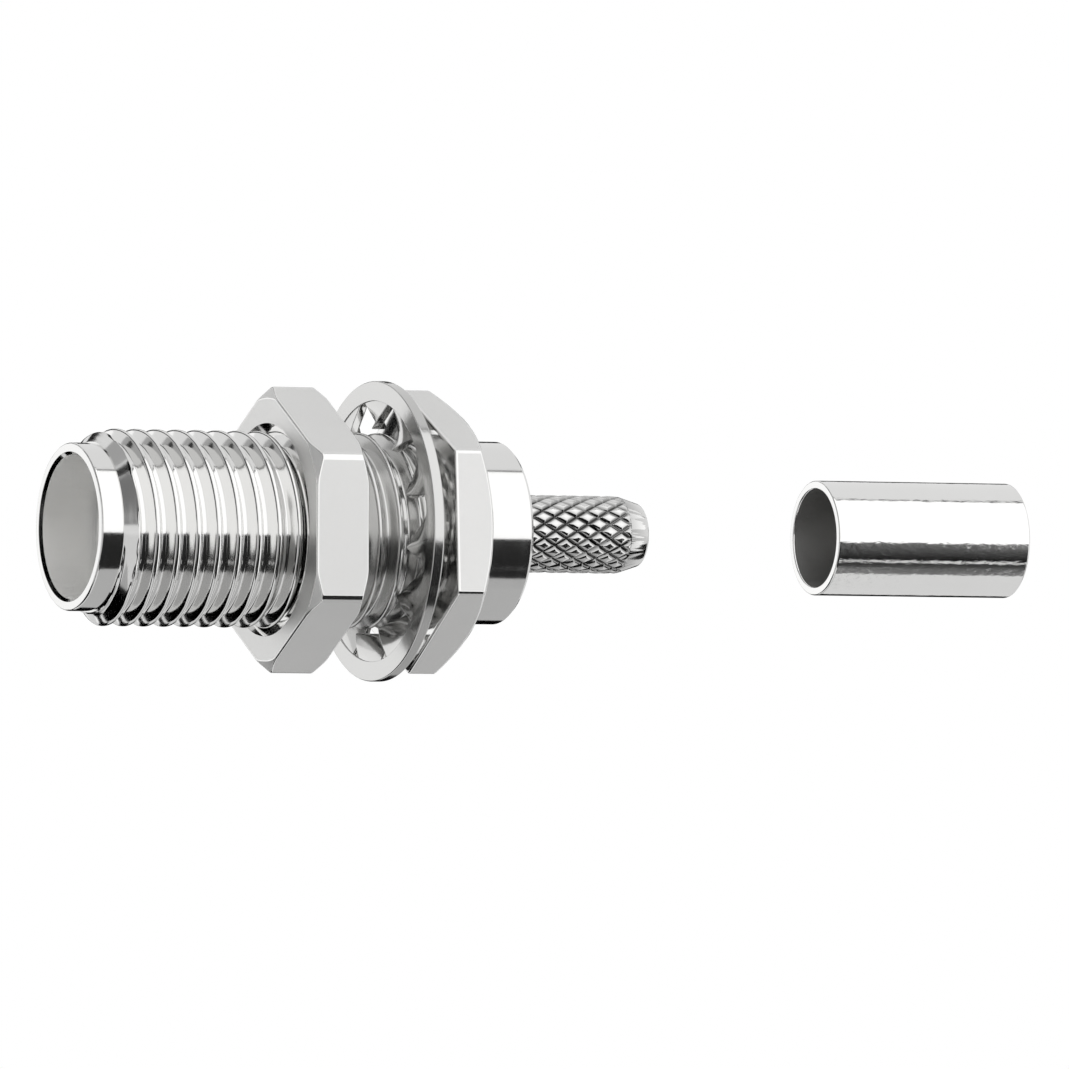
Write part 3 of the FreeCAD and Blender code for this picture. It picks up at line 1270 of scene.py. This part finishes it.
@dataclass(frozen=True)
class ArcCard:
    """A curved card about the part's axis that is only seen as a reflection.

    Its angles are counted about the axis from the camera's side upwards, in degrees. Both its edges along the
    axis may be slanted, and its glow may change from the start angle to the end angle.
    """

    name: str
    start: float
    end: float
    from_x: tuple[float, float]
    to_x: tuple[float, float]
    radius: float
    glow: tuple[float, float]

    def points(self) -> np.ndarray:
        """Points at one radius, evenly spaced in angle, between the two edges.

        Returns:
            Points as rows, the two edges and x, y, z, in metres.
        """
        share = np.linspace(0, 1, CARD_STEPS)[:, None]
        angle = np.radians(180 - (self.start + (self.end - self.start) * share))
        near_x = self.from_x[0] + (self.from_x[1] - self.from_x[0]) * share
        far_x = self.to_x[0] + (self.to_x[1] - self.to_x[0]) * share
        return around(np.hstack([near_x, far_x]), self.radius, angle)

    def glows(self) -> np.ndarray:
        """The glow at each point."""
        return np.repeat(np.linspace(*self.glow, CARD_STEPS), 2)


def hang_card(card: ArcCard) -> None:
    """Makes a card that glows by its own levels and that neither the camera nor the shadows show.

    Args:
        card: The card.
    """
    points = card.points()
    rows, columns = points.shape[:2]
    index = np.arange(rows * columns).reshape(rows, columns)
    faces = np.stack([index[:-1, :-1], index[:-1, 1:], index[1:, 1:], index[1:, :-1]], axis=-1)
    mesh = bpy.data.meshes.new(card.name)
    mesh.from_pydata(points.reshape(-1, 3).tolist(), [], faces.reshape(-1, 4).tolist())
    mesh.attributes.new("glow", "FLOAT", "POINT").data.foreach_set("value", card.glows())
    tree = FinishTree(card.name)
    glow = tree.node("ShaderNodeAttribute", {"attribute_name": "glow"}, output="Fac")
    mesh.materials.append(tree.finish(tree.node("ShaderNodeEmission", {}, {"Strength": glow})))
    hung = bpy.data.objects.new(card.name, mesh)
    bpy.context.scene.collection.objects.link(hung)
    hung.visible_camera = False
    hung.visible_shadow = False
    hung.visible_diffuse = False


@dataclass
class Studio:
    """A pale floor, even white surroundings, a soft lamp, and the cards that the plate reflects."""

    floor_height: float = -0.42
    floor_half_width: float = 4.0
    floor_colour: tuple[float, float, float, float] = (0.86, 0.86, 0.86, 1.0)
    floor_roughness: float = 0.7
    surround_level: float = 0.85
    lamp_size: float = 0.5
    lamp_power: float = 0.5
    lamp_place: tuple[float, float, float] = (-0.15, -0.35, 0.45)
    cards: tuple[ArcCard, ...] = (
        ArcCard("front_glow", -12, 79, (-0.20, -0.20), (0.45, 0.45), 0.37, (1.30, 1.30)),
        ArcCard("top_flag", 79, 81.5, (-0.20, -0.20), (0.45, 0.45), 0.35, (0.05, 0.05)),
        ArcCard("front_flag", -64, -12, (-0.40, -0.20), (0.179, 0.179), 0.35, (0.02, 0.02)),
        ArcCard("root_flag", -64, -20, (0.202, 0.202), (0.247, 0.203), 0.35, (0.02, 0.02)),
        ArcCard("tail_glow", -64, -12, (0.25, 0.200), (0.45, 0.45), 0.352, (1.30, 1.30)),
        ArcCard("sleeve_flag_high", -48, -12, (0.179, 0.179), (0.202, 0.202), 0.35, (0.0, 0.14)),
        ArcCard("sleeve_flag_low", -80, -53, (0.179, 0.179), (0.202, 0.202), 0.35, (0.20, 0.03)),
        ArcCard("low_grey", -150, -64, (0.03, 0.03), (0.179, 0.179), 0.35, (0.50, 0.50)),
        ArcCard("tip_flag", -115, -45, (0.33, 0.45), (0.45, 0.75), 0.35, (0.0, 0.0)),
        ArcCard("face_glow", 150, 200, (-0.30, -0.30), (-0.05, -0.05), 0.36, (1.15, 1.15)),
        ArcCard("back_flag", 155, 203, (0.06, 0.06), (0.28, 0.28), 0.35, (0.0, 0.0)),
        ArcCard("low_edge_flag", -165, -150, (-0.10, -0.10), (0.179, 0.179), 0.35, (0.0, 0.0)),
        ArcCard("back_low_flag", 200, 255, (-0.12, -0.10), (-0.42, -0.42), 0.345, (0.0, 0.0)),
        ArcCard("back_low_grey", 200, 235, (-0.42, -0.42), (-0.90, -0.90), 0.35, (0.45, 0.45)),
        ArcCard("back_high_grey", 108, 150, (-0.13, -0.24), (-0.90, -0.90), 0.35, (0.42, 0.42)),
        ArcCard("back_high_dot", 118, 124, (-0.47, -0.47), (-0.64, -0.64), 0.34, (0.0, 0.0)),
        ArcCard("top_dot", 132, 136, (-0.25, -0.25), (-0.30, -0.30), 0.34, (0.0, 0.0)),
        ArcCard("mouth_flag_high", 5, 105, (-0.65, -0.19), (-0.92, -0.45), 0.34, (0.0, 0.0)),
        ArcCard("mouth_flag_top", 104, 158, (-0.29, -0.01), (-0.23, 0.05), 0.34, (0.0, 0.0)),
        ArcCard("mouth_flag_low", -105, 5, (-0.22, -0.62), (-0.45, -1.00), 0.34, (0.0, 0.0)),
        ArcCard("lead_flag", 5, 96, (-0.90, -0.47), (-2.00, -0.75), 0.345, (0.20, 0.20)),
    )

    def floor(self) -> None:
        """Lays the pale floor."""
        half = self.floor_half_width
        corners = [(-half, -half), (half, -half), (half, half), (-half, half)]
        mesh = bpy.data.meshes.new("floor")
        mesh.from_pydata([(x, y, self.floor_height) for x, y in corners], [], [(0, 1, 2, 3)])
        tree = FinishTree("pale_floor")
        inputs = {"Base Color": self.floor_colour, "Roughness": self.floor_roughness}
        shader = tree.node("ShaderNodeBsdfPrincipled", {}, inputs)
        mesh.materials.append(tree.finish(shader))
        made = bpy.data.objects.new("floor", mesh)
        bpy.context.scene.collection.objects.link(made)

    def surroundings(self) -> None:
        """Makes the world even, and pure white where the camera looks past the part."""
        world = bpy.data.worlds.new("white_surround")
        world.use_nodes = True
        nodes, links = world.node_tree.nodes, world.node_tree.links
        nodes.clear()
        path = nodes.new("ShaderNodeLightPath")
        lighting, backdrop = nodes.new("ShaderNodeBackground"), nodes.new("ShaderNodeBackground")
        lighting.inputs["Strength"].default_value = self.surround_level
        lighting.inputs["Color"].default_value = (1, 1, 1, 1)
        backdrop.inputs["Color"].default_value = (1, 1, 1, 1)
        choose, out = nodes.new("ShaderNodeMixShader"), nodes.new("ShaderNodeOutputWorld")
        links.new(path.outputs["Is Camera Ray"], choose.inputs[0])
        links.new(lighting.outputs[0], choose.inputs[1])
        links.new(backdrop.outputs[0], choose.inputs[2])
        links.new(choose.outputs[0], out.inputs["Surface"])
        bpy.context.scene.world = world

    def lamp(self) -> None:
        """Hangs a soft lamp above and in front."""
        data = bpy.data.lights.new("soft_lamp", "AREA")
        data.size = self.lamp_size
        data.energy = self.lamp_power
        lamp = bpy.data.objects.new("soft_lamp", data)
        lamp.location = self.lamp_place
        lamp.rotation_mode = "QUATERNION"
        lamp.rotation_quaternion = Vector(self.lamp_place).to_track_quat("Z", "Y")
        lamp.visible_glossy = False
        bpy.context.scene.collection.objects.link(lamp)

    def build(self) -> None:
        """Sets up everything round the part."""
        self.floor()
        self.surroundings()
        self.lamp()
        for card in self.cards:
            hang_card(card)
        bpy.context.scene.view_settings.view_transform = "Standard"


@dataclass
class PhotoCamera:
    """The camera at the photograph's place and angle, worked out from the connector's known sizes."""

    azimuth: float = -25.094
    elevation: float = -4.461
    roll: float = -1.214
    distance: float = 0.5942
    pixels_to_metre: float = 31083.0
    frame_pixels: int = 1069
    centre_pixel: tuple[float, float] = (534.83, 533.79)
    look_at: tuple[float, float, float] = (0.0046, 0.0, 0.0)
    nearest: float = 0.01
    farthest: float = 20.0

    def build(self) -> None:
        """Makes the camera and looks through it."""
        a, e, r = (math.radians(value) for value in (self.azimuth, self.elevation, self.roll))
        back = Vector((math.sin(a) * math.cos(e), -math.cos(a) * math.cos(e), math.sin(e)))
        right = Vector((math.cos(a), math.sin(a), 0))
        up = back.cross(right)
        turned_right = right * math.cos(r) + up * math.sin(r)
        turned_up = up * math.cos(r) - right * math.sin(r)
        data = bpy.data.cameras.new("photo_camera")
        data.lens = self.pixels_to_metre * self.distance / self.frame_pixels * data.sensor_width
        data.shift_x = (self.frame_pixels / 2 - self.centre_pixel[0]) / self.frame_pixels
        data.shift_y = (self.centre_pixel[1] - self.frame_pixels / 2) / self.frame_pixels
        data.clip_start = self.nearest
        data.clip_end = self.farthest
        camera = bpy.data.objects.new("photo_camera", data)
        axes = Matrix((turned_right, turned_up, back)).transposed()
        camera.matrix_world = Matrix.Translation(Vector(self.look_at) + back * self.distance) @ axes.to_4x4()
        bpy.context.scene.collection.objects.link(camera)
        bpy.context.scene.camera = camera


def main() -> None:
    """Builds every piece, dresses it and places it on its body."""
    logging.basicConfig(level=logging.INFO, format="%(name)s: %(message)s")
    finishes = Finishes()
    PhotoCamera().build()
    Studio().build()
    pieces = [
        (JackShell(), "jack", "jack_shell", "plated_body"),
        (CentreContact(), "jack", "centre_contact", "gold_contact"),
        (FrontInsulator(), "jack", "front_insulator", "white_insulator"),
        (CrimpStem(), "jack", "crimp_stem", "plated_stem"),
        (PanelNut(), "nut", "hex_nut", "plated_nut"),
        (LockWasher(), "washer", "lock_washer", "plated_washer"),
        (CrimpFerrule(), "ferrule", "crimp_ferrule", "plated_ferrule"),
    ]
    for maker, body, node, slot in pieces:
        piece = maker.build(finishes)
        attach(piece, body)
        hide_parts(node)
        LOG.info("%s stands for %s: %d faces", piece.name, node, len(piece.data.polygons))
    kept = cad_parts["rear_insulator"]
    kept.data.materials.clear()
    kept.data.materials.append(finishes.insulator)
    LOG.info("rear_insulator keeps its CAD shape")


if __name__ == "__main__":
    main()
